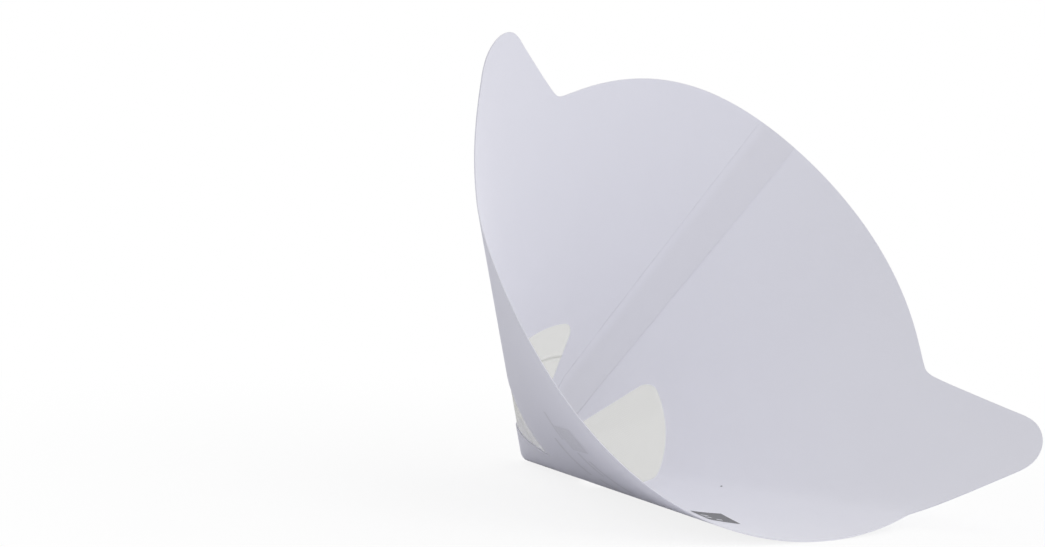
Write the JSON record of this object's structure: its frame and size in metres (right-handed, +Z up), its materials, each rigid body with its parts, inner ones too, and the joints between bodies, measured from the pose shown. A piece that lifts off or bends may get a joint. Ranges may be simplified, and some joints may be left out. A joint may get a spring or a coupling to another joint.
{
  "type": "paper resin filter",
  "caption": "Open paper cone with two carrying ears and two fine screened windows at its tip, for straining liquid resin.",
  "frame": {"origin": "centre of the underside of the bounding box, on the surface the cone lies on", "axes": "+Z up, +X along the longest extent, from the raised left ear to the right ear, +Y away from the open mouth"},
  "size_m": [0.1674, 0.1264, 0.1298],
  "materials": {
    "paper": "matt uncoated white paper",
    "mesh": "fine cream monofilament gauze"
  },
  "bodies": {
    "root": {"paper_cone": "paper", "mesh_screen": "mesh"}
  },
  "joints": []
}
